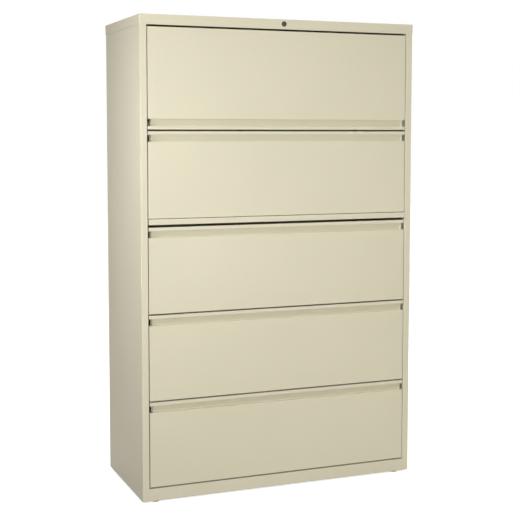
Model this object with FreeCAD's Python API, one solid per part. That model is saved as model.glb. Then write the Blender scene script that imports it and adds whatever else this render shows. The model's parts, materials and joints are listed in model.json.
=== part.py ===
import FreeCAD, Part

import math
import os

# A five-tier lateral filing cabinet: a steel case, a flip-up receding door over a roll-out shelf,
# four drawers on telescoping rails, a posting shelf, a gang lock and four levelling feet.
# Millimetres. X runs along the width, the front faces -Y, Z is up from the floor.

# Case
CABINET_WIDTH = 1066.8
CASE_DEPTH = 473.1
CASE_SHEET = 1.2
BACK_SHEET = 1.0
SIDE_BEND = 2.4            # outer radius of the bends in the case sheets
SEAM_FILL_REACH = 1.6      # how far the weld beside the base rail runs over the bend
FLANGE_WIDTH = 25.2        # front flange of each side panel
JAMB_DEPTH = 20.0          # return that goes back from each front flange
REAR_FLANGE = 18.0

# Top cap
CAP_SHEET = 1.2
CAP_CLEARANCE = 0.3        # between the cap's skirts and the case
CAP_HEIGHT = 35.5
CAP_HEM = 15.0
CAP_RADIUS = 2.0

# Base pan
BASE_HEM = 15.0

# Heights of the tiers, from the floor up
FOOT_HEIGHT = 8.0
BASE_HEIGHT = 44.9
TIER_GAP = 4.8
DRAWER_HEIGHT = 304.8
FINGER_GAP = 9.0           # under the posting shelf
POSTING_HEIGHT = 20.3
POSTING_TOP_GAP = 1.7
DOOR_GAP = 5.4
DOOR_HEIGHT = 354.3
TOP_GAP = 6.6

# Fronts of the door and the drawers
FRONT_SHEET = 1.0
FRONT_SIDE_GAP = 2.6
FRONT_DEPTH = 18.0         # depth of a front's folded edges
FRONT_BEND = 1.6
LIP_HEIGHT = 12.8          # strip of face between a pull and the front's edge
PULL_HEIGHT = 23.6
PULL_TOP_DEPTH = 2.6
PULL_BOTTOM_DEPTH = 15.4
PULL_END = 10.7            # open notch past each end of a pull
PULL_BEND = 1.4

# Telescoping rails, three members a side
MID_GAP = 0.8              # between a mid rail and the jamb
RAIL_RUN = 0.5             # running gap between two members
FIXED_RAIL_SHEET = 1.5
MID_RAIL_SHEET = 1.3
INNER_RAIL_SHEET = 1.3
FIXED_RAIL_HALF = 23.0     # half height of a fixed rail
GLIDE_THICKNESS = 1.6
INNER_RAIL_WIDTH = 9.0
ARM_TIP_GAP = 1.4
RAIL_SETBACK = 23.0        # front ends behind the case's face
RAIL_BACK_ROOM = 34.0      # rear ends ahead of the case's back
BUMPER_LENGTH = 7.0
STOP_GAP = 0.3             # rear end of a closed rail to its bumper

# Drawer bodies
BODY_SHEET = 1.0
BODY_FLOOR_RISE = 8.0      # floor above the front's lower edge
BODY_WALL = 245.0
BODY_BACK_ROOM = 31.0      # rear wall ahead of the case's back
DRAWER_RAIL_HEIGHT = 60.0  # rail's centre above the front's lower edge
HANG_RAIL_SPACING = 302.0
HANG_RAIL_SETBACK = 20.0
HANG_RAIL_THICKNESS = 3.0
HANG_RAIL_HEIGHT = 16.0
HANG_CLIP_LENGTH = 12.0
HANG_CLIP_DROP = 10.0
HANG_CLIP_SHEET = 1.5

# Uprights that carry the rails
UPRIGHT_SHEET = 1.5
UPRIGHT_WIDTH = 40.0
UPRIGHT_FRONT_SETBACK = 21.0
UPRIGHT_BACK_ROOM = 27.0
UPRIGHT_TOP_ROOM = 25.0    # under the door's pivot line

# Receding door
DOOR_PIVOT_SETBACK = 9.0
DOOR_PIVOT_DROP = 12.0
DOOR_PIN_RADIUS = 3.0
DOOR_PIN_HEAD_RADIUS = 5.5
DOOR_PIN_HEAD = 3.0
PIN_RUN = 0.05             # radial running clearance of every shaft and pin
DOOR_ARM_SHEET = 1.6
DOOR_ARM_GAP = 0.5
DOOR_ARM_HALF = 6.5
DOOR_RUNNER_SETBACK = 24.0
DOOR_RUNNER_LENGTH = 80.0
DOOR_TRACK_HALF = 15.5
DOOR_TRACK_SHEET = 1.5
DOOR_TRACK_BACK_ROOM = 30.0
DOOR_TRACK_OPENING = 1.8   # from the track's lips to the jamb line
DOOR_BAR_RADIUS = 8.0
DOOR_BAR_WALL = 1.5
DOOR_BAR_SETBACK = 70.0
DOOR_NECK_HALF = 10.0

# Roll-out shelf behind the door
SHELF_SETBACK = 60.0       # its front edge behind the case's face
SHELF_FLOOR_RISE = 7.0     # above the door's lower edge
SHELF_LIP = 20.0
SHELF_SIDE = 46.0

# Posting shelf
POSTING_PROUD = 2.5
POSTING_NOSE_DEPTH = 16.0
POSTING_BACK_ROOM = 74.1   # its rear edge ahead of the case's back
POSTING_SHEET = 1.2
POSTING_SIDE = 15.0
POSTING_RUNNER_WIDTH = 8.9
POSTING_GUIDE_SHEET = 1.2
POSTING_GUIDE_HALF = 9.4
POSTING_RUN = 0.4

# Gang lock
LOCK_X = 6.0
LOCK_DROP = 16.7           # below the cap's top
LOCK_COLLAR_RADIUS = 9.5
LOCK_COLLAR_PROUD = 1.4
LOCK_BODY_RADIUS = 8.0
LOCK_BODY_LENGTH = 24.0
LOCK_NUT_ACROSS = 22.0
LOCK_NUT_THICKNESS = 4.0
LOCK_PLUG_RADIUS = 6.0
LOCK_PLUG_INSET = 0.4
LOCK_PLUG_LENGTH = 27.0
KEYWAY_WIDTH = 1.8
KEYWAY_HEIGHT = 7.0
KEYWAY_DEPTH = 4.0
LOCK_SHAFT_RADIUS = 3.0
LOCK_CRANK_RADIUS = 8.0    # from the shaft to the crank pin
LOCK_CRANK_SHEET = 3.0
LOCK_CRANK_PIN_RADIUS = 2.5
LOCK_CRANK_EYE_RADIUS = 4.0
LOCK_CRANK_HUB_RADIUS = 5.0
LOCK_CRANK_GAP = 0.3       # from the crank to the bar
LOCK_PIN_REACH = 1.0       # crank pin's end past the bar
LOCK_SLOT_RUN = 0.45       # crank pin in the bar's slot
LOCK_TURN = 90.0
LOCK_BAR_WIDTH = 24.0
LOCK_BAR_THICKNESS = 3.0
LOCK_BAR_BACK_ROOM = 5.0   # from the bar to the back panel
LOCK_BAR_TOP_ROOM = 2.7    # from the lifted bar to the cap's plate
LOCK_BAR_BOTTOM = 150.0    # above the floor
HOOK_REACH = 16.0
HOOK_SHEET = 2.0
HOOK_TIP = 13.5
HOOK_WIDTH = 16.0
HOOK_CLEARANCE = 1.5
KEEPER_RISE = 200.0        # above the drawer front's lower edge
KEEPER_REACH = 13.0
KEEPER_DROP = 12.0
KEEPER_SHEET = 1.5
KEEPER_WIDTH = 30.0
STAPLE_SHEET = 1.5
STAPLE_HEIGHT = 20.0
STAPLE_RUN = 0.3
STAPLE_FOOT = 14.0
HANGER_HALF_WIDTH = 9.5
HANGER_SHEET = 3.0
HANGER_GAP = 2.0           # from the hanger to the crank
HANGER_DROP = 8.0          # below the shaft's centre
HANGER_FOOT = 14.0
HANGER_FOOT_SHEET = 1.5

# Levelling feet
LEVELLER_INSET_X = 53.4    # from the overall width
LEVELLER_INSET_FRONT = 22.0
LEVELLER_INSET_BACK = 42.0
PAD_RADIUS = 12.5
PAD_GAP = 0.5
PAD_ROUND = 2.0
PAD_SOCKET_FLOOR = 3.0
STEM_RADIUS = 4.0
STEM_LENGTH = 42.0
STEM_SLOT_WIDTH = 1.4
STEM_SLOT_DEPTH = 2.0
STEM_HOLE_CLEARANCE = 1.0
NUT_ACROSS = 13.0
NUT_HEIGHT = 8.0

# Base weight and screws
WEIGHT_LENGTH = 860.0
WEIGHT_DEPTH = 120.0
WEIGHT_HEIGHT = 20.0
WEIGHT_BACK_ROOM = 75.0
SCREW_RADIUS = 2.0
SCREW_HEAD_RADIUS = 4.0
SCREW_HEAD_HEIGHT = 1.2
SCREW_LENGTH = 6.0
SCREW_INSET = 9.0          # from the side panels' outer faces
SCREW_ROWS = 6
SCREW_TOP_ROOM = 60.0
SCREW_BOTTOM_ROOM = 40.0
BACK_PANEL_INSET = 3.0

# Places worked out from the sizes above
HALF_WIDTH = CABINET_WIDTH / 2
CASE_HALF = HALF_WIDTH - CAP_SHEET - CAP_CLEARANCE
OPENING_HALF = CASE_HALF - FLANGE_WIDTH
FRONT_HALF = OPENING_HALF - FRONT_SIDE_GAP
PULL_HALF = FRONT_HALF - PULL_END
WALL_INNER = CASE_HALF - CASE_SHEET

Y_FRONT = (POSTING_PROUD - CASE_DEPTH) / 2
Y_BACK = Y_FRONT + CASE_DEPTH
Y_CASE_BACK = Y_BACK - CAP_SHEET - CAP_CLEARANCE
Y_BACK_INNER = Y_CASE_BACK - BACK_SHEET

Z_BASE_TOP = FOOT_HEIGHT + BASE_HEIGHT
Z_DRAWER_4 = Z_BASE_TOP + TIER_GAP
Z_DRAWER_3 = Z_DRAWER_4 + DRAWER_HEIGHT + TIER_GAP
Z_DRAWER_2 = Z_DRAWER_3 + DRAWER_HEIGHT + TIER_GAP
Z_POSTING = Z_DRAWER_2 + DRAWER_HEIGHT + FINGER_GAP
Z_POSTING_TOP = Z_POSTING + POSTING_HEIGHT
Z_DRAWER_1 = Z_POSTING_TOP + POSTING_TOP_GAP
Z_DOOR = Z_DRAWER_1 + DRAWER_HEIGHT + DOOR_GAP
Z_DOOR_TOP = Z_DOOR + DOOR_HEIGHT
Z_CAP = Z_DOOR_TOP + TOP_GAP
Z_TOP = Z_CAP + CAP_HEIGHT
Z_PLATE = Z_TOP - CAP_SHEET
Z_PANEL_TOP = Z_PLATE - (CAP_RADIUS - CAP_SHEET)
Z_FLOOR_TOP = FOOT_HEIGHT + CASE_SHEET
DRAWER_BOTTOMS = (Z_DRAWER_1, Z_DRAWER_2, Z_DRAWER_3, Z_DRAWER_4)

MID_RAIL_OUTER = OPENING_HALF - MID_GAP
FIXED_RAIL_INNER = MID_RAIL_OUTER + RAIL_RUN
RAIL_SEAT = FIXED_RAIL_INNER + FIXED_RAIL_SHEET
INNER_RAIL_TIP = MID_RAIL_OUTER - MID_RAIL_SHEET - RAIL_RUN
BODY_HALF = INNER_RAIL_TIP - INNER_RAIL_WIDTH
ARM_TIP = BODY_HALF + INNER_RAIL_SHEET + ARM_TIP_GAP
MID_RAIL_HALF = FIXED_RAIL_HALF - FIXED_RAIL_SHEET - GLIDE_THICKNESS - RAIL_RUN
INNER_RAIL_HALF = MID_RAIL_HALF - MID_RAIL_SHEET - RAIL_RUN
Y_RAIL_FRONT = Y_FRONT + RAIL_SETBACK
Y_RAIL_BACK = Y_CASE_BACK - RAIL_BACK_ROOM
Y_FIXED_BACK = Y_RAIL_BACK + STOP_GAP + BUMPER_LENGTH
Y_BODY_FRONT = Y_FRONT + FRONT_DEPTH - BODY_SHEET
Y_BODY_BACK = Y_CASE_BACK - BODY_BACK_ROOM

Y_PIVOT = Y_FRONT + DOOR_PIVOT_SETBACK
Z_PIVOT = Z_DOOR_TOP - DOOR_PIVOT_DROP
Z_UPRIGHT_TOP = Z_PIVOT - UPRIGHT_TOP_ROOM
Y_SHELF_FRONT = Y_FRONT + SHELF_SETBACK
Z_SHELF = Z_DOOR + SHELF_FLOOR_RISE
Z_SHELF_RAIL = Z_SHELF + FIXED_RAIL_HALF
RAIL_CENTRES = tuple(z + DRAWER_RAIL_HEIGHT for z in DRAWER_BOTTOMS) + (Z_SHELF_RAIL,)
Z_POSTING_CENTRE = Z_POSTING + POSTING_HEIGHT / 2
POSTING_HALF = MID_RAIL_OUTER - POSTING_RUNNER_WIDTH
Y_POSTING_BACK = Y_CASE_BACK - POSTING_BACK_ROOM

Z_LOCK = Z_TOP - LOCK_DROP
LOCK_BAR_LIFT = 2 * LOCK_CRANK_RADIUS * math.sin(math.radians(LOCK_TURN / 2))
Y_LOCK_BAR = Y_BACK_INNER - LOCK_BAR_BACK_ROOM - LOCK_BAR_THICKNESS
LOCK_BAR_X = LOCK_X + LOCK_CRANK_RADIUS
PAD_HEIGHT = FOOT_HEIGHT - PAD_GAP
LEVELLER_X = HALF_WIDTH - LEVELLER_INSET_X
LEVELLER_PLACES = {
    "front_left": (-LEVELLER_X, Y_FRONT + LEVELLER_INSET_FRONT),
    "front_right": (LEVELLER_X, Y_FRONT + LEVELLER_INSET_FRONT),
    "rear_left": (-LEVELLER_X, Y_CASE_BACK - LEVELLER_INSET_BACK),
    "rear_right": (LEVELLER_X, Y_CASE_BACK - LEVELLER_INSET_BACK),
}
OVERCUT = 2.0              # how far a cutter runs past the face it cuts
TOUCH = 0.01               # closer than this is the same height


def vector(x, y, z):
    return FreeCAD.Vector(x, y, z)


def box(x0, x1, y0, y1, z0, z1):
    return Part.makeBox(x1 - x0, y1 - y0, z1 - z0, vector(x0, y0, z0))


def rod(radius, start, end):
    along = end - start
    return Part.makeCylinder(radius, along.Length, start, along)


def fuse(shapes):
    whole = shapes[0].fuse(shapes[1:]) if len(shapes) > 1 else shapes[0]
    return whole.removeSplitter()


def group(shapes):
    """Separate solids of one sub-part, such as a left and a right rail."""
    return Part.makeCompound(shapes)


def mirrored(shape):
    return shape.mirror(vector(0, 0, 0), vector(1, 0, 0))


def both_sides(shape):
    """The right-hand piece and its left-hand twin."""
    return [shape, mirrored(shape)]


def rounded_face(points, radii, place):
    """A face inside corner points, each corner rounded; place turns (u, v) into a vector."""
    edges = []
    tangents = []
    count = len(points)
    for i in range(count):
        u, v = points[i]
        before = points[i - 1]
        after = points[(i + 1) % count]
        radius = radii[i]
        if radius <= 0:
            tangents.append(((u, v), None, (u, v)))
            continue
        a = math.hypot(before[0] - u, before[1] - v)
        b = math.hypot(after[0] - u, after[1] - v)
        ua = ((before[0] - u) / a, (before[1] - v) / a)
        ub = ((after[0] - u) / b, (after[1] - v) / b)
        half = math.acos(max(-1.0, min(1.0, ua[0] * ub[0] + ua[1] * ub[1]))) / 2
        reach = radius / math.tan(half)
        middle = (ua[0] + ub[0], ua[1] + ub[1])
        size = math.hypot(*middle)
        inward = radius / math.sin(half) - radius
        arc_mid = (u + middle[0] / size * inward, v + middle[1] / size * inward)
        start = (u + ua[0] * reach, v + ua[1] * reach)
        end = (u + ub[0] * reach, v + ub[1] * reach)
        tangents.append((start, arc_mid, end))
    for i in range(count):
        start, arc_mid, end = tangents[i]
        if arc_mid:
            edges.append(Part.Arc(place(*start), place(*arc_mid), place(*end)).toShape())
        following = tangents[(i + 1) % count][0]
        edges.append(Part.LineSegment(place(*end), place(*following)).toShape())
    return Part.Face(Part.Wire(edges))


def along_x(points, x0, x1, radii=None):
    """Extrudes (y, z) corner points from x0 to x1."""
    face = rounded_face(points, radii or [0] * len(points), lambda y, z: vector(x0, y, z))
    return face.extrude(vector(x1 - x0, 0, 0))


def along_y(points, y0, y1, radii=None):
    """Extrudes (x, z) corner points from y0 to y1."""
    face = rounded_face(points, radii or [0] * len(points), lambda x, z: vector(x, y0, z))
    return face.extrude(vector(0, y1 - y0, 0))


def along_z(points, z0, z1, radii=None):
    """Extrudes (x, y) corner points from z0 to z1."""
    face = rounded_face(points, radii or [0] * len(points), lambda x, y: vector(x, y, z0))
    return face.extrude(vector(0, 0, z1 - z0))


def corner_sliver(x, y, side_x, side_y, radius, z0, z1):
    """What a rounded upright edge leaves out of the square corner at (x, y)."""
    cx = x - side_x * radius
    cy = y - side_y * radius
    far_x = x + side_x * OVERCUT
    far_y = y + side_y * OVERCUT
    block = box(min(cx, far_x), max(cx, far_x), min(cy, far_y), max(cy, far_y), z0, z1)
    return block.cut(rod(radius, vector(cx, cy, z0), vector(cx, cy, z1)))


def hexagon(across, centre, start, end, place):
    radius = across / math.sqrt(3)
    points = []
    for i in range(6):
        angle = math.radians(60 * i + 30)
        points.append((centre[0] + radius * math.cos(angle), centre[1] + radius * math.sin(angle)))
    return place(points, start, end)


# Case

def side_panel():
    """Right side: outer wall, front flange, jamb and rear flange, folded from one sheet."""
    sheet = CASE_SHEET
    outer = SIDE_BEND
    inner = SIDE_BEND - sheet
    jamb_end = Y_FRONT + JAMB_DEPTH
    back = Y_BACK_INNER
    points = [
        (CASE_HALF - REAR_FLANGE, back), (CASE_HALF, back), (CASE_HALF, Y_FRONT),
        (OPENING_HALF, Y_FRONT), (OPENING_HALF, jamb_end), (OPENING_HALF + sheet, jamb_end),
        (OPENING_HALF + sheet, Y_FRONT + sheet), (CASE_HALF - sheet, Y_FRONT + sheet),
        (CASE_HALF - sheet, back - sheet), (CASE_HALF - REAR_FLANGE, back - sheet),
    ]
    radii = [0, outer, outer, outer, 0, 0, inner, inner, inner, 0]
    panel = along_z(points, FOOT_HEIGHT, Z_PANEL_TOP, radii)
    behind_cap = box(OPENING_HALF - OVERCUT, CASE_HALF + OVERCUT, Y_FRONT - OVERCUT,
                     Y_FRONT + CAP_SHEET, Z_CAP - CAP_CLEARANCE, Z_PLATE + OVERCUT)
    return panel.cut(behind_cap)


def back_panel():
    half = CASE_HALF - BACK_PANEL_INSET
    return box(-half, half, Y_BACK_INNER, Y_CASE_BACK, Z_FLOOR_TOP, Z_PANEL_TOP)


def back_screw_places():
    low = FOOT_HEIGHT + SCREW_BOTTOM_ROOM
    step = (Z_TOP - SCREW_TOP_ROOM - low) / (SCREW_ROWS - 1)
    x = CASE_HALF - SCREW_INSET
    return [(side * x, low + step * row) for side in (-1, 1) for row in range(SCREW_ROWS)]


def back_panel_screws():
    screws = []
    for x, z in back_screw_places():
        head = rod(SCREW_HEAD_RADIUS, vector(x, Y_CASE_BACK, z),
                   vector(x, Y_CASE_BACK + SCREW_HEAD_HEIGHT, z))
        shank = rod(SCREW_RADIUS, vector(x, Y_CASE_BACK - SCREW_LENGTH, z), vector(x, Y_CASE_BACK, z))
        screws.append(fuse([head, shank]))
    return group(screws)


def drilled_for_screws(shape):
    for x, z in back_screw_places():
        hole = rod(SCREW_RADIUS, vector(x, Y_CASE_BACK - SCREW_LENGTH, z),
                   vector(x, Y_CASE_BACK + OVERCUT, z))
        shape = shape.cut(hole)
    return shape


def pan_block(x_half, y0, y1, z0, z1, radius):
    """A block whose upper edges and upright corners are rounded."""
    block = box(-x_half, x_half, y0, y1, z0, z1)
    edges = []
    for edge in block.Edges:
        low = min(vertex.Point.z for vertex in edge.Vertexes)
        upright = edge.BoundBox.ZLength > (z1 - z0) / 2
        if low > z1 - TOUCH or upright:
            edges.append(edge)
    return block.makeFillet(radius, edges)


def top_cap():
    """Lid with a deep front rail and skirts that close over the case."""
    sheet = CAP_SHEET
    outer = pan_block(HALF_WIDTH, Y_FRONT, Y_BACK, Z_CAP, Z_TOP, CAP_RADIUS)
    hollow = pan_block(HALF_WIDTH - sheet, Y_FRONT + sheet, Y_BACK - sheet,
                       Z_CAP - OVERCUT, Z_PLATE, CAP_RADIUS - sheet)
    hem = box(-OPENING_HALF, OPENING_HALF, Y_FRONT + sheet, Y_FRONT + CAP_HEM, Z_CAP, Z_CAP + sheet)
    lock_hole = rod(LOCK_BODY_RADIUS, vector(LOCK_X, Y_FRONT - OVERCUT, Z_LOCK),
                    vector(LOCK_X, Y_FRONT + sheet + OVERCUT, Z_LOCK))
    return fuse([outer.cut(hollow), hem]).cut(lock_hole)


def base_pan():
    """Front rail, floor and rear upstand; the floor is drilled for the levelling stems."""
    sheet = CASE_SHEET
    outer = SIDE_BEND
    inner = SIDE_BEND - sheet
    hem_end = Y_FRONT + BASE_HEM
    points = [
        (hem_end, Z_BASE_TOP), (Y_FRONT, Z_BASE_TOP), (Y_FRONT, FOOT_HEIGHT),
        (Y_BACK_INNER, FOOT_HEIGHT), (Y_BACK_INNER, Z_BASE_TOP), (Y_BACK_INNER - sheet, Z_BASE_TOP),
        (Y_BACK_INNER - sheet, Z_FLOOR_TOP), (Y_FRONT + sheet, Z_FLOOR_TOP),
        (Y_FRONT + sheet, Z_BASE_TOP - sheet), (hem_end, Z_BASE_TOP - sheet),
    ]
    radii = [0, outer, outer, 0, 0, 0, 0, inner, inner, 0]
    tray = along_x(points, -OPENING_HALF, OPENING_HALF, radii)
    floor = box(-WALL_INNER, WALL_INNER, Y_FRONT + JAMB_DEPTH, Y_BACK_INNER - outer,
                FOOT_HEIGHT, Z_FLOOR_TOP)
    pan = fuse([tray, floor] + both_sides(seam_fill()))
    for x, y in LEVELLER_PLACES.values():
        hole = rod(STEM_RADIUS + STEM_HOLE_CLEARANCE, vector(x, y, FOOT_HEIGHT - OVERCUT),
                   vector(x, y, Z_FLOOR_TOP + OVERCUT))
        pan = pan.cut(hole)
    return pan


def seam_fill():
    """Weld, ground flush, between the base rail's right end and the flange beside it."""
    block = box(OPENING_HALF, OPENING_HALF + SEAM_FILL_REACH, Y_FRONT, Y_FRONT + CASE_SHEET,
                FOOT_HEIGHT + SIDE_BEND, Z_BASE_TOP - SIDE_BEND)
    return block.cut(side_panel())


def upright(y0):
    """Right-hand channel, its web towards the rails and its legs on the side panel."""
    y1 = y0 + UPRIGHT_WIDTH
    sheet = UPRIGHT_SHEET
    points = [
        (WALL_INNER, y0), (RAIL_SEAT, y0), (RAIL_SEAT, y1), (WALL_INNER, y1),
        (WALL_INNER, y1 - sheet), (RAIL_SEAT + sheet, y1 - sheet),
        (RAIL_SEAT + sheet, y0 + sheet), (WALL_INNER, y0 + sheet),
    ]
    return along_z(points, Z_FLOOR_TOP, Z_UPRIGHT_TOP)


def front_uprights():
    return group(both_sides(upright(Y_FRONT + UPRIGHT_FRONT_SETBACK)))


def rear_uprights():
    return group(both_sides(upright(Y_CASE_BACK - UPRIGHT_BACK_ROOM - UPRIGHT_WIDTH)))


def base_weight():
    y1 = Y_BACK_INNER - WEIGHT_BACK_ROOM
    return box(-WEIGHT_LENGTH / 2, WEIGHT_LENGTH / 2, y1 - WEIGHT_DEPTH, y1,
               Z_FLOOR_TOP, Z_FLOOR_TOP + WEIGHT_HEIGHT)


# Rails

def channel(web, tip, sheet, half, centre, y0, y1):
    """A C section lying along Y; its web's outer face is at web, its arms reach to tip."""
    turn = 1 if web > tip else -1
    points = [
        (tip, centre - half), (web, centre - half), (web, centre + half), (tip, centre + half),
        (tip, centre + half - sheet), (web - turn * sheet, centre + half - sheet),
        (web - turn * sheet, centre - half + sheet), (tip, centre - half + sheet),
    ]
    return along_y(points, y0, y1)


def fixed_rails():
    rails = []
    for centre in RAIL_CENTRES:
        rail = channel(RAIL_SEAT, ARM_TIP, FIXED_RAIL_SHEET, FIXED_RAIL_HALF, centre,
                       Y_RAIL_FRONT, Y_FIXED_BACK)
        rails += both_sides(rail)
    return group(rails)


def rail_glides():
    """Nylon strips that line the arms of each fixed rail."""
    strips = []
    reach = FIXED_RAIL_HALF - FIXED_RAIL_SHEET
    for centre in RAIL_CENTRES:
        for low in (centre + reach - GLIDE_THICKNESS, centre - reach):
            strip = box(ARM_TIP, FIXED_RAIL_INNER, Y_RAIL_FRONT, Y_RAIL_BACK, low, low + GLIDE_THICKNESS)
            strips += both_sides(strip)
    return group(strips)


def rail_bumpers():
    """Rubber stops in the rear ends of the fixed rails."""
    bumpers = []
    reach = FIXED_RAIL_HALF - FIXED_RAIL_SHEET
    for centre in RAIL_CENTRES:
        bumper = box(BODY_HALF, FIXED_RAIL_INNER, Y_FIXED_BACK - BUMPER_LENGTH, Y_FIXED_BACK,
                     centre - reach, centre + reach)
        bumpers += both_sides(bumper)
    return group(bumpers)


def mid_rails(centre, y_front):
    rail = channel(MID_RAIL_OUTER, ARM_TIP, MID_RAIL_SHEET, MID_RAIL_HALF, centre, y_front, Y_RAIL_BACK)
    return group(both_sides(rail))


def inner_rails(centre, y_front):
    rail = channel(BODY_HALF, INNER_RAIL_TIP, INNER_RAIL_SHEET, INNER_RAIL_HALF, centre,
                   y_front, Y_RAIL_BACK)
    return group(both_sides(rail))


# Fronts

def front_pan(z0, z1, pull_low):
    """A folded face with a pull groove; past the groove's end walls the edges are notched open."""
    sheet = FRONT_SHEET
    y_deep = Y_FRONT + FRONT_DEPTH
    pull_top = pull_low + PULL_HEIGHT
    y_top = Y_FRONT + PULL_TOP_DEPTH
    y_low = Y_FRONT + PULL_BOTTOM_DEPTH
    outer_points = [
        (y_deep, z1), (Y_FRONT, z1), (Y_FRONT, pull_top), (y_top, pull_top),
        (y_low, pull_low), (Y_FRONT, pull_low), (Y_FRONT, z0), (y_deep, z0),
    ]
    bend = FRONT_BEND
    outer_radii = [0, bend, PULL_BEND, PULL_BEND, PULL_BEND, PULL_BEND, bend, 0]
    y_in = Y_FRONT + sheet
    inner_points = [
        (y_deep + OVERCUT, z1 - sheet), (y_in, z1 - sheet), (y_in, pull_top + sheet),
        (y_top + sheet, pull_top + sheet), (y_low + sheet, pull_low - sheet),
        (y_in, pull_low - sheet), (y_in, z0 + sheet), (y_deep + OVERCUT, z0 + sheet),
    ]
    tight = PULL_BEND - sheet
    inner_radii = [0, bend - sheet, tight, tight, tight, tight, bend - sheet, 0]
    outer = along_x(outer_points, -FRONT_HALF, FRONT_HALF, outer_radii)
    inner_half = FRONT_HALF - sheet
    inner = along_x(inner_points, -inner_half, inner_half, inner_radii)
    for side in (-1, 1):
        outer = outer.cut(corner_sliver(side * FRONT_HALF, Y_FRONT, side, -1, bend,
                                        z0 - OVERCUT, z1 + OVERCUT))
        inner = inner.cut(corner_sliver(side * inner_half, y_in, side, -1, bend - sheet,
                                        z0 - OVERCUT, z1 + OVERCUT))
    pan = outer.cut(inner)
    for side in (-1, 1):
        near = side * PULL_HALF
        far = side * (FRONT_HALF + OVERCUT)
        notch = box(min(near, far), max(near, far), Y_FRONT - OVERCUT, y_deep + OVERCUT,
                    pull_low, pull_top)
        pan = pan.cut(notch)
    return fuse([pan] + both_sides(pull_end_wall(pull_low)))


def pull_end_wall(pull_low):
    """Plate that closes the groove's right end, from the face back to the groove's slope."""
    half_sheet = FRONT_SHEET / 2
    low = pull_low - half_sheet
    high = pull_low + PULL_HEIGHT + half_sheet
    y_edge = Y_FRONT + PULL_BEND
    points = [
        (y_edge, low), (y_edge, high), (Y_FRONT + PULL_TOP_DEPTH + half_sheet, high),
        (Y_FRONT + PULL_BOTTOM_DEPTH + half_sheet, low),
    ]
    return along_x(points, PULL_HALF - FRONT_SHEET, PULL_HALF)


# Door

def door_pull_low():
    return Z_DOOR + LIP_HEIGHT


def door_panel():
    pan = front_pan(Z_DOOR, Z_DOOR_TOP, door_pull_low())
    pin_holes = rod(DOOR_PIN_RADIUS, vector(-FRONT_HALF - OVERCUT, Y_PIVOT, Z_PIVOT),
                    vector(FRONT_HALF + OVERCUT, Y_PIVOT, Z_PIVOT))
    return pan.cut(pin_holes)


def door_liner():
    """Back of the door, a plate that closes its folded edges."""
    sheet = FRONT_SHEET
    half = FRONT_HALF - sheet
    y1 = Y_FRONT + FRONT_DEPTH
    plate = box(-half, half, y1 - sheet, y1, Z_DOOR + sheet, Z_DOOR_TOP - sheet)
    for side in (-1, 1):
        near = side * PULL_HALF
        far = side * (half + OVERCUT)
        notch = box(min(near, far), max(near, far), y1 - sheet - OVERCUT, y1 + OVERCUT,
                    door_pull_low(), door_pull_low() + PULL_HEIGHT)
        plate = plate.cut(notch)
    return plate


def door_hinge_pins():
    head_x = FRONT_HALF - FRONT_SHEET
    head = rod(DOOR_PIN_HEAD_RADIUS, vector(head_x - DOOR_PIN_HEAD, Y_PIVOT, Z_PIVOT),
               vector(head_x, Y_PIVOT, Z_PIVOT))
    end_x = FRONT_HALF + DOOR_ARM_GAP + DOOR_ARM_SHEET
    shank = rod(DOOR_PIN_RADIUS, vector(head_x, Y_PIVOT, Z_PIVOT), vector(end_x, Y_PIVOT, Z_PIVOT))
    return group(both_sides(fuse([head, shank])))


def door_arms():
    """Flat arms beside the door's edges; each carries a hinge pin at its front end."""
    x0 = FRONT_HALF + DOOR_ARM_GAP
    x1 = x0 + DOOR_ARM_SHEET
    y1 = Y_FRONT + DOOR_RUNNER_SETBACK + DOOR_RUNNER_LENGTH
    plate = box(x0, x1, Y_PIVOT, y1, Z_PIVOT - DOOR_ARM_HALF, Z_PIVOT + DOOR_ARM_HALF)
    nose = rod(DOOR_ARM_HALF, vector(x0, Y_PIVOT, Z_PIVOT), vector(x1, Y_PIVOT, Z_PIVOT))
    hole = rod(DOOR_PIN_RADIUS + PIN_RUN, vector(x0 - OVERCUT, Y_PIVOT, Z_PIVOT),
               vector(x1 + OVERCUT, Y_PIVOT, Z_PIVOT))
    return group(both_sides(fuse([plate, nose]).cut(hole)))


def door_runners():
    """Nylon blocks that run in the tracks and hold the arms."""
    y0 = Y_FRONT + DOOR_RUNNER_SETBACK
    y1 = y0 + DOOR_RUNNER_LENGTH
    run = RAIL_RUN
    arm_face = FRONT_HALF + DOOR_ARM_GAP + DOOR_ARM_SHEET
    x_lip = OPENING_HALF + DOOR_TRACK_OPENING + run
    half = DOOR_TRACK_HALF - DOOR_TRACK_SHEET - run
    block = box(x_lip, WALL_INNER - DOOR_TRACK_SHEET - run, y0, y1, Z_PIVOT - half, Z_PIVOT + half)
    neck = box(arm_face, x_lip, y0, y1, Z_PIVOT - DOOR_NECK_HALF, Z_PIVOT + DOOR_NECK_HALF)
    return group(both_sides(fuse([block, neck])))


def door_cross_bar():
    """Tube that keeps both runners level with each other."""
    x1 = FRONT_HALF + DOOR_ARM_GAP
    y = Y_FRONT + DOOR_BAR_SETBACK
    tube = rod(DOOR_BAR_RADIUS, vector(-x1, y, Z_PIVOT), vector(x1, y, Z_PIVOT))
    bore = rod(DOOR_BAR_RADIUS - DOOR_BAR_WALL, vector(-x1, y, Z_PIVOT), vector(x1, y, Z_PIVOT))
    return tube.cut(bore)


def door_tracks():
    track = channel(WALL_INNER, OPENING_HALF + DOOR_TRACK_OPENING, DOOR_TRACK_SHEET,
                    DOOR_TRACK_HALF, Z_PIVOT, Y_FRONT + DOOR_RUNNER_SETBACK,
                    Y_CASE_BACK - DOOR_TRACK_BACK_ROOM)
    return group(both_sides(track))


# Roll-out shelf

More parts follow.
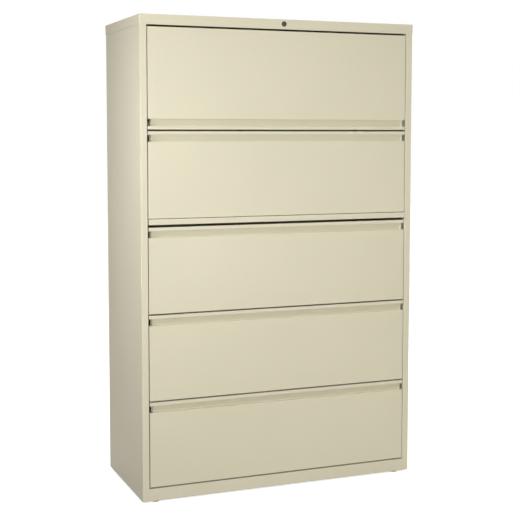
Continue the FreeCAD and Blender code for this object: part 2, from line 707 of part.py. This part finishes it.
def roll_out_shelf():
    """Shallow tray: floor, two side walls for the rails, a low lip in front and behind."""
    sheet = BODY_SHEET
    half = BODY_HALF
    floor = box(-half, half, Y_SHELF_FRONT, Y_BODY_BACK, Z_SHELF, Z_SHELF + sheet)
    wall = box(half - sheet, half, Y_SHELF_FRONT, Y_BODY_BACK, Z_SHELF, Z_SHELF + SHELF_SIDE)
    lips = [box(-half, half, y, y + sheet, Z_SHELF, Z_SHELF + SHELF_LIP)
            for y in (Y_SHELF_FRONT, Y_BODY_BACK - sheet)]
    return fuse([floor] + both_sides(wall) + lips)


# Posting shelf

def posting_shelf():
    """Writing surface with folded edges; its nose stands proud and is the finger pull."""
    sheet = POSTING_SHEET
    y_nose = Y_FRONT - POSTING_PROUD
    y_nose_back = y_nose + POSTING_NOSE_DEPTH
    nose_points = [
        (y_nose_back, Z_POSTING_TOP), (y_nose, Z_POSTING_TOP), (y_nose, Z_POSTING),
        (y_nose_back, Z_POSTING), (y_nose_back, Z_POSTING + sheet), (y_nose + sheet, Z_POSTING + sheet),
        (y_nose + sheet, Z_POSTING_TOP - sheet), (y_nose_back, Z_POSTING_TOP - sheet),
    ]
    bend = FRONT_BEND
    tight = FRONT_BEND - sheet
    radii = [0, bend, bend, 0, 0, tight, tight, 0]
    nose = along_x(nose_points, -FRONT_HALF, FRONT_HALF, radii)
    half = POSTING_HALF
    y_end = Y_POSTING_BACK
    top = box(-half, half, y_nose_back, y_end, Z_POSTING_TOP - sheet, Z_POSTING_TOP)
    side = box(half - sheet, half, y_nose_back, y_end, Z_POSTING_TOP - POSTING_SIDE, Z_POSTING_TOP)
    rear = box(-half, half, y_end - sheet, y_end, Z_POSTING_TOP - POSTING_SIDE, Z_POSTING_TOP)
    return fuse([nose, top, rear] + both_sides(side))


def posting_shelf_runners():
    """Nylon strips on the shelf's sides, inside its guides."""
    half = POSTING_GUIDE_HALF - POSTING_GUIDE_SHEET - POSTING_RUN
    strip = box(POSTING_HALF, MID_RAIL_OUTER, Y_RAIL_FRONT, Y_POSTING_BACK,
                Z_POSTING_CENTRE - half, Z_POSTING_CENTRE + half)
    return group(both_sides(strip))


def posting_shelf_guides():
    guide = channel(RAIL_SEAT, POSTING_HALF + POSTING_RUN, POSTING_GUIDE_SHEET,
                    POSTING_GUIDE_HALF, Z_POSTING_CENTRE, Y_RAIL_FRONT, Y_FIXED_BACK)
    return group(both_sides(guide))


# Drawers

def drawer_front(z0):
    z1 = z0 + DRAWER_HEIGHT
    return front_pan(z0, z1, z1 - LIP_HEIGHT - PULL_HEIGHT)


def drawer_body(z0):
    """Open tub with a tall front wall, and the keeper that the lock's hook catches."""
    sheet = BODY_SHEET
    floor = z0 + BODY_FLOOR_RISE
    top = floor + BODY_WALL
    half = BODY_HALF
    bottom = box(-half, half, Y_BODY_FRONT, Y_BODY_BACK, floor, floor + sheet)
    side = box(half - sheet, half, Y_BODY_FRONT, Y_BODY_BACK, floor, top)
    back = box(-half, half, Y_BODY_BACK - sheet, Y_BODY_BACK, floor, top)
    front = box(-half, half, Y_BODY_FRONT, Y_BODY_FRONT + sheet,
                z0 + FRONT_SHEET, z0 + DRAWER_HEIGHT - FRONT_SHEET)
    keeper = keeper_plate(z0)
    return fuse([bottom, back, front, keeper] + both_sides(side))


def keeper_plate(z0):
    z = z0 + KEEPER_RISE
    x0 = LOCK_BAR_X - KEEPER_WIDTH / 2
    x1 = LOCK_BAR_X + KEEPER_WIDTH / 2
    y1 = Y_BODY_BACK + KEEPER_REACH
    shelf = box(x0, x1, Y_BODY_BACK, y1, z, z + KEEPER_SHEET)
    lip = box(x0, x1, y1 - KEEPER_SHEET, y1, z - KEEPER_DROP, z)
    return fuse([shelf, lip])


def drawer_hang_rails(z0):
    """Two bars across the drawer that hanging folders ride on, clipped over the side walls."""
    top = z0 + BODY_FLOOR_RISE + BODY_WALL
    half = BODY_HALF - BODY_SHEET
    rails = []
    first = Y_BODY_FRONT + BODY_SHEET + HANG_RAIL_SETBACK
    for y in (first, first + HANG_RAIL_SPACING):
        y1 = y + HANG_RAIL_THICKNESS
        bar = box(-half, half, y, y1, top - HANG_RAIL_HEIGHT, top)
        clip_top = box(BODY_HALF - HANG_CLIP_LENGTH, BODY_HALF + HANG_CLIP_SHEET, y, y1,
                       top, top + HANG_CLIP_SHEET)
        clip_leg = box(BODY_HALF, BODY_HALF + HANG_CLIP_SHEET, y, y1, top - HANG_CLIP_DROP, top)
        rails.append(fuse([bar] + both_sides(clip_top) + both_sides(clip_leg)))
    return group(rails)


# Gang lock

def lock_point(y, x=0.0, z=0.0):
    return vector(LOCK_X + x, y, Z_LOCK + z)


def lock_housing():
    collar = rod(LOCK_COLLAR_RADIUS, lock_point(Y_FRONT - LOCK_COLLAR_PROUD), lock_point(Y_FRONT))
    body = rod(LOCK_BODY_RADIUS, lock_point(Y_FRONT), lock_point(Y_FRONT + LOCK_BODY_LENGTH))
    y_nut = Y_FRONT + CAP_SHEET
    nut = hexagon(LOCK_NUT_ACROSS, (LOCK_X, Z_LOCK), y_nut, y_nut + LOCK_NUT_THICKNESS, along_y)
    bore = rod(LOCK_PLUG_RADIUS + PIN_RUN, lock_point(Y_FRONT - LOCK_COLLAR_PROUD - OVERCUT),
               lock_point(Y_FRONT + LOCK_BODY_LENGTH + OVERCUT))
    return fuse([collar, body, nut]).cut(bore)


def lock_plug():
    y0 = Y_FRONT - LOCK_COLLAR_PROUD + LOCK_PLUG_INSET
    plug = rod(LOCK_PLUG_RADIUS, lock_point(y0), lock_point(y0 + LOCK_PLUG_LENGTH))
    keyway = box(LOCK_X - KEYWAY_WIDTH / 2, LOCK_X + KEYWAY_WIDTH / 2, y0 - OVERCUT, y0 + KEYWAY_DEPTH,
                 Z_LOCK - KEYWAY_HEIGHT / 2, Z_LOCK + KEYWAY_HEIGHT / 2)
    return plug.cut(keyway)


def crank_span():
    """Front and back of the crank arm, which lies just ahead of the lock bar."""
    back = Y_LOCK_BAR - LOCK_CRANK_GAP
    return back - LOCK_CRANK_SHEET, back


def lock_shaft():
    start = Y_FRONT - LOCK_COLLAR_PROUD + LOCK_PLUG_INSET + LOCK_PLUG_LENGTH
    return rod(LOCK_SHAFT_RADIUS, lock_point(start), lock_point(crank_span()[0]))


def crank_pin_offset():
    """Crank pin at rest, half the lock's turn below level, from the shaft's centre."""
    angle = math.radians(-LOCK_TURN / 2)
    return LOCK_CRANK_RADIUS * math.cos(angle), LOCK_CRANK_RADIUS * math.sin(angle)


def lock_crank():
    y0, y1 = crank_span()
    dx, dz = crank_pin_offset()
    width = LOCK_CRANK_EYE_RADIUS
    hub = rod(LOCK_CRANK_HUB_RADIUS, lock_point(y0), lock_point(y1))
    eye = rod(width, lock_point(y0, dx, dz), lock_point(y1, dx, dz))
    side_x = -dz / LOCK_CRANK_RADIUS * width
    side_z = dx / LOCK_CRANK_RADIUS * width
    web = along_y([
        (LOCK_X + side_x, Z_LOCK + side_z), (LOCK_X - side_x, Z_LOCK - side_z),
        (LOCK_X + dx - side_x, Z_LOCK + dz - side_z), (LOCK_X + dx + side_x, Z_LOCK + dz + side_z),
    ], y0, y1)
    pin_end = Y_LOCK_BAR + LOCK_BAR_THICKNESS + LOCK_PIN_REACH
    pin = rod(LOCK_CRANK_PIN_RADIUS, lock_point(y1, dx, dz), lock_point(pin_end, dx, dz))
    return fuse([hub, eye, web, pin])


def lock_bar():
    """Upright bar with a slot for the crank pin and one hook for each drawer."""
    x0 = LOCK_BAR_X - LOCK_BAR_WIDTH / 2
    x1 = LOCK_BAR_X + LOCK_BAR_WIDTH / 2
    y0 = Y_LOCK_BAR
    y1 = y0 + LOCK_BAR_THICKNESS
    bar = box(x0, x1, y0, y1, LOCK_BAR_BOTTOM, Z_PLATE - LOCK_BAR_LIFT - LOCK_BAR_TOP_ROOM)
    dx, dz = crank_pin_offset()
    half = LOCK_CRANK_PIN_RADIUS + LOCK_SLOT_RUN
    slot_z = Z_LOCK + dz
    slot = box(LOCK_X + dx - half, LOCK_X + LOCK_CRANK_RADIUS + half, y0 - OVERCUT, y1 + OVERCUT,
               slot_z - half, slot_z + half)
    hooks = []
    for z0 in DRAWER_BOTTOMS:
        tip_top = z0 + KEEPER_RISE - KEEPER_DROP - HOOK_CLEARANCE
        hook_x0 = LOCK_BAR_X - HOOK_WIDTH / 2
        hook_x1 = LOCK_BAR_X + HOOK_WIDTH / 2
        low = tip_top - HOOK_TIP
        arm = box(hook_x0, hook_x1, y0 - HOOK_REACH, y0, low, low + HOOK_SHEET)
        tip = box(hook_x0, hook_x1, y0 - HOOK_REACH, y0 - HOOK_REACH + HOOK_SHEET, low, tip_top)
        hooks += [arm, tip]
    return fuse([bar] + hooks).cut(slot)


def staple(z):
    """Guide strap around the lock bar, with feet on the back panel."""
    run = STAPLE_RUN
    sheet = STAPLE_SHEET
    x0 = LOCK_BAR_X - LOCK_BAR_WIDTH / 2 - run
    x1 = LOCK_BAR_X + LOCK_BAR_WIDTH / 2 + run
    y0 = Y_LOCK_BAR - run
    points = [
        (x0 - STAPLE_FOOT, Y_BACK_INNER), (x0 - STAPLE_FOOT, Y_BACK_INNER - sheet),
        (x0 - sheet, Y_BACK_INNER - sheet), (x0 - sheet, y0 - sheet), (x1 + sheet, y0 - sheet),
        (x1 + sheet, Y_BACK_INNER - sheet), (x1 + STAPLE_FOOT, Y_BACK_INNER - sheet),
        (x1 + STAPLE_FOOT, Y_BACK_INNER), (x1, Y_BACK_INNER), (x1, y0), (x0, y0), (x0, Y_BACK_INNER),
    ]
    return along_z(points, z, z + STAPLE_HEIGHT)


def lock_guides():
    """Staples that guide the bar, and the hanger that carries the shaft's rear end."""
    levels = [LOCK_BAR_BOTTOM + STAPLE_HEIGHT]
    levels += [z0 + DRAWER_RAIL_HEIGHT for z0 in (Z_DRAWER_2, Z_DRAWER_1)]
    levels.append(Z_UPRIGHT_TOP - STAPLE_HEIGHT)
    return group([staple(z) for z in levels] + [shaft_hanger()])


def shaft_hanger():
    y1 = crank_span()[0] - HANGER_GAP
    y0 = y1 - HANGER_SHEET
    half = HANGER_HALF_WIDTH
    low = Z_LOCK - HANGER_DROP
    leg = box(LOCK_X - half, LOCK_X + half, y0, y1, low, Z_PLATE)
    foot = box(LOCK_X - half, LOCK_X + half, y0 - HANGER_FOOT, y0, Z_PLATE - HANGER_FOOT_SHEET, Z_PLATE)
    bore = rod(LOCK_SHAFT_RADIUS + PIN_RUN, lock_point(y0 - OVERCUT), lock_point(y1 + OVERCUT))
    return fuse([leg, foot]).cut(bore)


# Levelling feet

def leveller_pad(x, y):
    pad = rod(PAD_RADIUS, vector(x, y, 0), vector(x, y, PAD_HEIGHT))
    lower_edge = [edge for edge in pad.Edges if edge.BoundBox.ZMax < PAD_HEIGHT / 2]
    pad = pad.makeFillet(PAD_ROUND, lower_edge)
    socket = rod(STEM_RADIUS + PIN_RUN, vector(x, y, PAD_SOCKET_FLOOR), vector(x, y, PAD_HEIGHT + OVERCUT))
    return pad.cut(socket)


def leveller_stem(x, y):
    top = PAD_SOCKET_FLOOR + STEM_LENGTH
    stem = rod(STEM_RADIUS, vector(x, y, PAD_SOCKET_FLOOR), vector(x, y, top))
    half = STEM_SLOT_WIDTH / 2
    slot = box(x - STEM_RADIUS - OVERCUT, x + STEM_RADIUS + OVERCUT, y - half, y + half,
               top - STEM_SLOT_DEPTH, top + OVERCUT)
    return stem.cut(slot)


def leveller_nuts():
    nuts = []
    for x, y in LEVELLER_PLACES.values():
        nut = hexagon(NUT_ACROSS, (x, y), Z_FLOOR_TOP, Z_FLOOR_TOP + NUT_HEIGHT, along_z)
        bore = rod(STEM_RADIUS + PIN_RUN, vector(x, y, Z_FLOOR_TOP - OVERCUT),
                   vector(x, y, Z_FLOOR_TOP + NUT_HEIGHT + OVERCUT))
        nuts.append(nut.cut(bore))
    return group(nuts)


def case_parts():
    right = drilled_for_screws(side_panel())
    return {
        "left_side_panel": mirrored(right),
        "right_side_panel": right,
        "back_panel": drilled_for_screws(back_panel()),
        "back_panel_screws": back_panel_screws(),
        "top_cap": top_cap(),
        "base_pan": base_pan(),
        "base_weight": base_weight(),
        "front_uprights": front_uprights(),
        "rear_uprights": rear_uprights(),
        "fixed_rails": fixed_rails(),
        "rail_glides": rail_glides(),
        "rail_bumpers": rail_bumpers(),
        "door_tracks": door_tracks(),
        "posting_shelf_guides": posting_shelf_guides(),
        "leveller_nuts": leveller_nuts(),
        "lock_housing": lock_housing(),
        "lock_guides": lock_guides(),
    }


def moving_parts():
    parts = {
        "lock_plug": lock_plug(),
        "lock_shaft": lock_shaft(),
        "lock_crank": lock_crank(),
        "lock_bar": lock_bar(),
        "door_panel": door_panel(),
        "door_liner": door_liner(),
        "door_hinge_pins": door_hinge_pins(),
        "door_arms": door_arms(),
        "door_runners": door_runners(),
        "door_cross_bar": door_cross_bar(),
        "roll_out_shelf": roll_out_shelf(),
        "shelf_inner_rails": inner_rails(Z_SHELF_RAIL, Y_SHELF_FRONT),
        "shelf_mid_rails": mid_rails(Z_SHELF_RAIL, Y_SHELF_FRONT),
        "posting_shelf": posting_shelf(),
        "posting_shelf_runners": posting_shelf_runners(),
    }
    for place, (x, y) in LEVELLER_PLACES.items():
        parts["leveller_pad_" + place] = leveller_pad(x, y)
        parts["leveller_stem_" + place] = leveller_stem(x, y)
    for number, z0 in enumerate(DRAWER_BOTTOMS, 1):
        name = "drawer_%d_" % number
        centre = z0 + DRAWER_RAIL_HEIGHT
        parts[name + "front"] = drawer_front(z0)
        parts[name + "body"] = drawer_body(z0)
        parts[name + "hang_rails"] = drawer_hang_rails(z0)
        parts[name + "inner_rails"] = inner_rails(centre, Y_RAIL_FRONT)
        parts[name + "mid_rails"] = mid_rails(centre, Y_RAIL_FRONT)
    return parts


def main():
    os.makedirs("parts", exist_ok=True)
    for name, shape in {**case_parts(), **moving_parts()}.items():
        shape.exportStep("parts/%s.step" % name)


if __name__ == "__main__":
    main()
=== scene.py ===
import json
import math

import bpy
from mathutils import Matrix, Vector

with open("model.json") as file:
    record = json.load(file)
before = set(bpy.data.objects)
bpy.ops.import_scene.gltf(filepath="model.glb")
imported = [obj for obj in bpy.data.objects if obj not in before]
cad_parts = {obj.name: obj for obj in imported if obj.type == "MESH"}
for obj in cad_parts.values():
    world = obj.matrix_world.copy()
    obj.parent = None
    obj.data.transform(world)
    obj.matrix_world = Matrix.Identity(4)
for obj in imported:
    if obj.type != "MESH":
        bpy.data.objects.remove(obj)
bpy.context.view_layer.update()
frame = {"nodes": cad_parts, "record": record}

# Camera, from the case's corners and the gaps between the tiers in the photograph
CAMERA_PLACE = (-1.584, -3.978, 1.309)
CAMERA_YAW = -21.80
CAMERA_PITCH = 4.335
CAMERA_ROLL = 0.03
CAMERA_FOCAL_PIXELS = 1118.0
CAMERA_SHIFT_Y = -0.08
PHOTO_PIXELS = 520.0
SENSOR_WIDTH = 36.0

# Colours as they look in the photograph, from 0 to 255
SCREEN_WHITE = 255
IVORY = (204, 200, 179)
PLATED = (186, 187, 184)
NYLON = (226, 223, 210)
RUBBER = (34, 33, 32)
WEIGHT_IRON = (70, 68, 66)
LOCK_METAL = (88, 81, 70)
FOOT_BEIGE = (196, 190, 168)

# Noise in the materials; scales are per metre, and a tone is a share of the colour
RAMP_LOW = 0.3
RAMP_HIGH = 0.7
PLAIN_DETAIL = 2.0
FINE_DETAIL = 3.0
MILL_DETAIL = 5.0

# Ivory powder coat
PAINT_DRIFT_SCALE = 2.2
PAINT_TONES = (0.975, 1.015)
PAINT_GLOSS_SCALE = 60.0
PAINT_ROUGHNESS = (0.42, 0.52)
PAINT_GLOSS = 0.35
PAINT_PEEL_SCALE = 850.0
PAINT_PEEL_STRENGTH = 0.35
PAINT_PEEL_DEPTH = 0.00012

# Zinc plate
PLATE_LINE_SCALE = 220.0
PLATE_LINE_STRETCH = (1.0, 0.04, 1.0)
PLATE_TONES = (0.85, 1.05)
PLATE_METALLIC = 0.9
PLATE_ROUGHNESS = (0.28, 0.45)
PLATE_LINE_STRENGTH = 0.2
PLATE_LINE_DEPTH = 0.00008

# Moulded plastic and rubber
MOULDED_TONES = (0.94, 1.03)
MOULDED_GRAIN_STRENGTH = 0.25
MOULDED_GRAIN_DEPTH = 0.0001
NYLON_ROUGHNESS = (0.4, 0.55)
NYLON_GRAIN_SCALE = 700.0
RUBBER_ROUGHNESS = (0.6, 0.75)
RUBBER_GRAIN_SCALE = 500.0
FOOT_ROUGHNESS = (0.45, 0.6)
FOOT_GRAIN_SCALE = 600.0

# Raw iron of the base weight
IRON_MILL_SCALE = 40.0
IRON_TONES = (0.7, 1.2)
IRON_METALLIC = 0.6
IRON_ROUGHNESS = (0.55, 0.8)
IRON_MILL_STRENGTH = 0.4
IRON_MILL_DEPTH = 0.0004

# Nickel of the lock
LOCK_GRAIN_SCALE = 900.0
LOCK_TONES = (0.8, 1.1)
LOCK_METALLIC = 1.0
LOCK_ROUGHNESS = (0.25, 0.38)
LOCK_GRAIN_STRENGTH = 0.15
LOCK_GRAIN_DEPTH = 0.00005

# Studio
WHITE = (1, 1, 1, 1)
FLOOR_HALF = 14.0
FLOOR_TO_LIGHT = (0.28, 0.265, 0.23, 1)
FLOOR_GLOW = 0.70
WORLD_LIGHT = 0.39
WORLD_TINT = (1.08, 1.0, 0.85, 1)
WORLD_SEEN = 1.0

# Softboxes: places and sizes in metres, power in watts, spread of the beam in degrees
LAMPS = {
    "front_softbox": {
        "place": (-1.1, -4.1, 1.35), "target": (0, 0, 0.9), "size": 2.0, "power": 115.0, "spread": 180,
    },
    "side_softbox": {
        "place": (-2.3, -1.0, 1.85), "target": (-0.5, -0.5, 1.25), "size": 1.0, "power": 4.3, "spread": 52,
    },
    "back_softbox": {
        "place": (2.2, 2.8, 2.9), "target": (0, 0, 1.2), "size": 4.0, "power": 80.0, "spread": 140,
    },
}


def linear(colour):
    """Linear colour of a 0 to 255 screen colour."""
    out = []
    for value in colour:
        c = value / SCREEN_WHITE
        out.append(c / 12.92 if c <= 0.04045 else ((c + 0.055) / 1.055) ** 2.4)
    return (*out, 1.0)


def shaded(colour, tone):
    r, g, b, a = linear(colour)
    return (r * tone, g * tone, b * tone, a)


def new_material(name):
    material = bpy.data.materials.new(name)
    material.use_nodes = True
    tree = material.node_tree
    tree.nodes.clear()
    output = tree.nodes.new("ShaderNodeOutputMaterial")
    shader = tree.nodes.new("ShaderNodeBsdfPrincipled")
    tree.links.new(shader.outputs["BSDF"], output.inputs["Surface"])
    return material, tree, shader


def object_noise(tree, scale, detail, stretch=(1, 1, 1)):
    """Noise laid in the object's own space, so it rides with the piece."""
    where = tree.nodes.new("ShaderNodeTexCoord")
    mapping = tree.nodes.new("ShaderNodeMapping")
    mapping.inputs["Scale"].default_value = stretch
    noise = tree.nodes.new("ShaderNodeTexNoise")
    noise.inputs["Scale"].default_value = scale
    noise.inputs["Detail"].default_value = detail
    tree.links.new(where.outputs["Object"], mapping.inputs["Vector"])
    tree.links.new(mapping.outputs["Vector"], noise.inputs["Vector"])
    return noise.outputs["Fac"]


def tint(tree, shader, source, colour, tones):
    """Base colour that runs from the darker tone to the lighter one."""
    node = tree.nodes.new("ShaderNodeValToRGB")
    low, high = node.color_ramp.elements
    low.position = RAMP_LOW
    high.position = RAMP_HIGH
    low.color = shaded(colour, tones[0])
    high.color = shaded(colour, tones[1])
    tree.links.new(source, node.inputs["Fac"])
    tree.links.new(node.outputs["Color"], shader.inputs["Base Color"])


def roughen(tree, shader, source, roughness):
    """Roughness that runs from the lower value to the higher one."""
    node = tree.nodes.new("ShaderNodeMapRange")
    node.inputs["To Min"].default_value = roughness[0]
    node.inputs["To Max"].default_value = roughness[1]
    tree.links.new(source, node.inputs["Value"])
    tree.links.new(node.outputs["Result"], shader.inputs["Roughness"])


def bump(tree, shader, source, strength, distance):
    node = tree.nodes.new("ShaderNodeBump")
    node.inputs["Strength"].default_value = strength
    node.inputs["Distance"].default_value = distance
    tree.links.new(source, node.inputs["Height"])
    tree.links.new(node.outputs["Normal"], shader.inputs["Normal"])


def powder_coat():
    """Ivory powder coat: fine orange peel, slow drifts of tone and gloss."""
    material, tree, shader = new_material("ivory_powder_coat")
    tint(tree, shader, object_noise(tree, PAINT_DRIFT_SCALE, FINE_DETAIL), IVORY, PAINT_TONES)
    roughen(tree, shader, object_noise(tree, PAINT_GLOSS_SCALE, FINE_DETAIL), PAINT_ROUGHNESS)
    shader.inputs["Specular IOR Level"].default_value = PAINT_GLOSS
    peel = object_noise(tree, PAINT_PEEL_SCALE, PLAIN_DETAIL)
    bump(tree, shader, peel, PAINT_PEEL_STRENGTH, PAINT_PEEL_DEPTH)
    return material


def plated_steel():
    """Zinc plate with faint lengthwise drawing lines."""
    material, tree, shader = new_material("zinc_plated_steel")
    lines = object_noise(tree, PLATE_LINE_SCALE, FINE_DETAIL, PLATE_LINE_STRETCH)
    tint(tree, shader, lines, PLATED, PLATE_TONES)
    shader.inputs["Metallic"].default_value = PLATE_METALLIC
    roughen(tree, shader, lines, PLATE_ROUGHNESS)
    bump(tree, shader, lines, PLATE_LINE_STRENGTH, PLATE_LINE_DEPTH)
    return material


def moulded(name, colour, roughness, grain_scale):
    """Moulded plastic or rubber with a fine grain."""
    material, tree, shader = new_material(name)
    grain = object_noise(tree, grain_scale, PLAIN_DETAIL)
    tint(tree, shader, grain, colour, MOULDED_TONES)
    roughen(tree, shader, grain, roughness)
    bump(tree, shader, grain, MOULDED_GRAIN_STRENGTH, MOULDED_GRAIN_DEPTH)
    return material


def raw_iron():
    """Dark iron with blotches of mill scale."""
    material, tree, shader = new_material("raw_iron")
    mill = object_noise(tree, IRON_MILL_SCALE, MILL_DETAIL)
    tint(tree, shader, mill, WEIGHT_IRON, IRON_TONES)
    shader.inputs["Metallic"].default_value = IRON_METALLIC
    roughen(tree, shader, mill, IRON_ROUGHNESS)
    bump(tree, shader, mill, IRON_MILL_STRENGTH, IRON_MILL_DEPTH)
    return material


def lock_metal():
    """Dark nickel with a very fine grain."""
    material, tree, shader = new_material("lock_nickel")
    grain = object_noise(tree, LOCK_GRAIN_SCALE, PLAIN_DETAIL)
    tint(tree, shader, grain, LOCK_METAL, LOCK_TONES)
    shader.inputs["Metallic"].default_value = LOCK_METALLIC
    roughen(tree, shader, grain, LOCK_ROUGHNESS)
    bump(tree, shader, grain, LOCK_GRAIN_STRENGTH, LOCK_GRAIN_DEPTH)
    return material


def dress_nodes():
    """Each node takes the material of its slot in the record."""
    by_slot = {
        "ivory_paint": powder_coat(),
        "plated_steel": plated_steel(),
        "nylon": moulded("natural_nylon", NYLON, NYLON_ROUGHNESS, NYLON_GRAIN_SCALE),
        "rubber": moulded("black_rubber", RUBBER, RUBBER_ROUGHNESS, RUBBER_GRAIN_SCALE),
        "cast_weight": raw_iron(),
        "lock_metal": lock_metal(),
        "foot_plastic": moulded("foot_beige", FOOT_BEIGE, FOOT_ROUGHNESS, FOOT_GRAIN_SCALE),
    }
    for part in frame["record"]["subparts"]:
        node = frame["nodes"][part["node"]]
        for slot in node.material_slots:
            slot.material = by_slot[part["material_slot"]]


def add_camera():
    data = bpy.data.cameras.new("camera")
    data.sensor_width = SENSOR_WIDTH
    data.lens = CAMERA_FOCAL_PIXELS / PHOTO_PIXELS * SENSOR_WIDTH
    data.shift_y = CAMERA_SHIFT_Y
    camera = bpy.data.objects.new("camera", data)
    bpy.context.scene.collection.objects.link(camera)
    turn = Matrix.Rotation(math.radians(CAMERA_YAW), 4, "Z")
    tip = Matrix.Rotation(math.radians(90 - CAMERA_PITCH), 4, "X")
    roll = Matrix.Rotation(math.radians(CAMERA_ROLL), 4, "Z")
    camera.matrix_world = Matrix.Translation(CAMERA_PLACE) @ turn @ tip @ roll
    bpy.context.scene.camera = camera


def seen_directly(tree):
    """One for rays from the camera, from a mirror or through glass, nought for the light's."""
    path = tree.nodes.new("ShaderNodeLightPath")
    first = tree.nodes.new("ShaderNodeMath")
    first.operation = "MAXIMUM"
    second = tree.nodes.new("ShaderNodeMath")
    second.operation = "MAXIMUM"
    tree.links.new(path.outputs["Is Camera Ray"], first.inputs[0])
    tree.links.new(path.outputs["Is Glossy Ray"], first.inputs[1])
    tree.links.new(first.outputs["Value"], second.inputs[0])
    tree.links.new(path.outputs["Is Transmission Ray"], second.inputs[1])
    return second.outputs["Value"]


def floor_material():
    """Matt grey to the light, white to the eye, and it keeps the object's shadow."""
    material = bpy.data.materials.new("studio_floor")
    material.use_nodes = True
    tree = material.node_tree
    tree.nodes.clear()
    output = tree.nodes.new("ShaderNodeOutputMaterial")
    grey = tree.nodes.new("ShaderNodeBsdfDiffuse")
    grey.inputs["Color"].default_value = FLOOR_TO_LIGHT
    white = tree.nodes.new("ShaderNodeBsdfDiffuse")
    white.inputs["Color"].default_value = WHITE
    glow = tree.nodes.new("ShaderNodeEmission")
    glow.inputs["Color"].default_value = WHITE
    glow.inputs["Strength"].default_value = FLOOR_GLOW
    bright = tree.nodes.new("ShaderNodeAddShader")
    tree.links.new(white.outputs["BSDF"], bright.inputs[0])
    tree.links.new(glow.outputs["Emission"], bright.inputs[1])
    mix = tree.nodes.new("ShaderNodeMixShader")
    tree.links.new(seen_directly(tree), mix.inputs["Fac"])
    tree.links.new(grey.outputs["BSDF"], mix.inputs[1])
    tree.links.new(bright.outputs["Shader"], mix.inputs[2])
    tree.links.new(mix.outputs["Shader"], output.inputs["Surface"])
    return material


def add_floor():
    mesh = bpy.data.meshes.new("studio_floor")
    half = FLOOR_HALF
    corners = [(-half, -half, 0), (half, -half, 0), (half, half, 0), (-half, half, 0)]
    mesh.from_pydata(corners, [], [(0, 1, 2, 3)])
    floor = bpy.data.objects.new("studio_floor", mesh)
    bpy.context.scene.collection.objects.link(floor)
    mesh.materials.append(floor_material())


def add_world():
    """Even warm light on the object, and white where the world itself is seen."""
    world = bpy.data.worlds.new("studio")
    bpy.context.scene.world = world
    world.use_nodes = True
    tree = world.node_tree
    tree.nodes.clear()
    output = tree.nodes.new("ShaderNodeOutputWorld")
    light = tree.nodes.new("ShaderNodeBackground")
    light.inputs["Color"].default_value = WORLD_TINT
    light.inputs["Strength"].default_value = WORLD_LIGHT
    seen = tree.nodes.new("ShaderNodeBackground")
    seen.inputs["Color"].default_value = WHITE
    seen.inputs["Strength"].default_value = WORLD_SEEN
    mix = tree.nodes.new("ShaderNodeMixShader")
    tree.links.new(seen_directly(tree), mix.inputs["Fac"])
    tree.links.new(light.outputs["Background"], mix.inputs[1])
    tree.links.new(seen.outputs["Background"], mix.inputs[2])
    tree.links.new(mix.outputs["Shader"], output.inputs["Surface"])


def add_lamp(name, place, target, size, power, spread):
    """Square softbox that faces its target."""
    data = bpy.data.lights.new(name, "AREA")
    data.shape = "RECTANGLE"
    data.size = size
    data.size_y = size
    data.energy = power
    data.spread = math.radians(spread)
    lamp = bpy.data.objects.new(name, data)
    bpy.context.scene.collection.objects.link(lamp)
    aim = Vector(target) - Vector(place)
    lamp.matrix_world = Matrix.Translation(place) @ aim.to_track_quat("-Z", "Y").to_matrix().to_4x4()


dress_nodes()
add_camera()
add_floor()
add_world()
for lamp_name, lamp_values in LAMPS.items():
    add_lamp(lamp_name, **lamp_values)
bpy.context.scene.view_settings.view_transform = "Standard"
